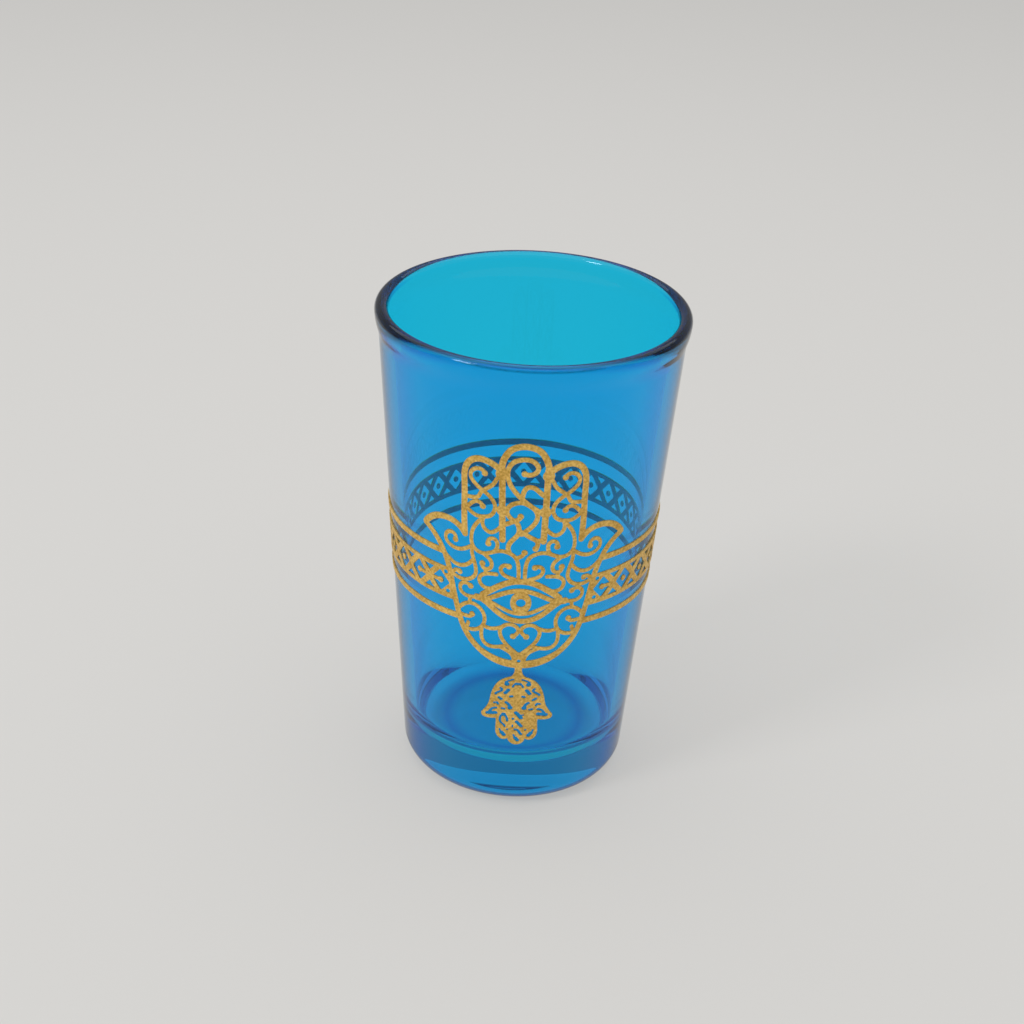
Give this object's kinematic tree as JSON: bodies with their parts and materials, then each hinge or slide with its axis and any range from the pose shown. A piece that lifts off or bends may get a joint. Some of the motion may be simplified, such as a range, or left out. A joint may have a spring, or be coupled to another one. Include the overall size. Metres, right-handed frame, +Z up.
{
  "type": "tea glass",
  "caption": "Tapered blue drinking glass with a thick base and a rounded rim, carrying a raised gold hand ornament with an eye, a small pendant hand and a lattice band.",
  "frame": {"origin": "centre of the base, on the surface that the glass stands on", "axes": "+Z up the glass's axis to the rim, -Y towards the side that carries the hand ornament"},
  "size_m": [0.0566, 0.0566, 0.095],
  "materials": {
    "blue_glass": "clear blue glass, fire-polished",
    "gold": "satin gold enamel, slightly grainy"
  },
  "bodies": {
    "root": {"glass_tumbler": "blue_glass", "hand_outline": "gold", "eye": "gold", "heart_scroll": "gold", "palm_scrolls": "gold", "middle_finger_scrolls": "gold", "left_finger_scrolls": "gold", "right_finger_scrolls": "gold", "left_thumb_scrolls": "gold", "right_thumb_scrolls": "gold", "pendant_link": "gold", "pendant_hand": "gold", "band_upper_line": "gold", "band_lattice": "gold", "lattice_dots": "gold", "band_lower_line": "gold"}
  },
  "joints": []
}
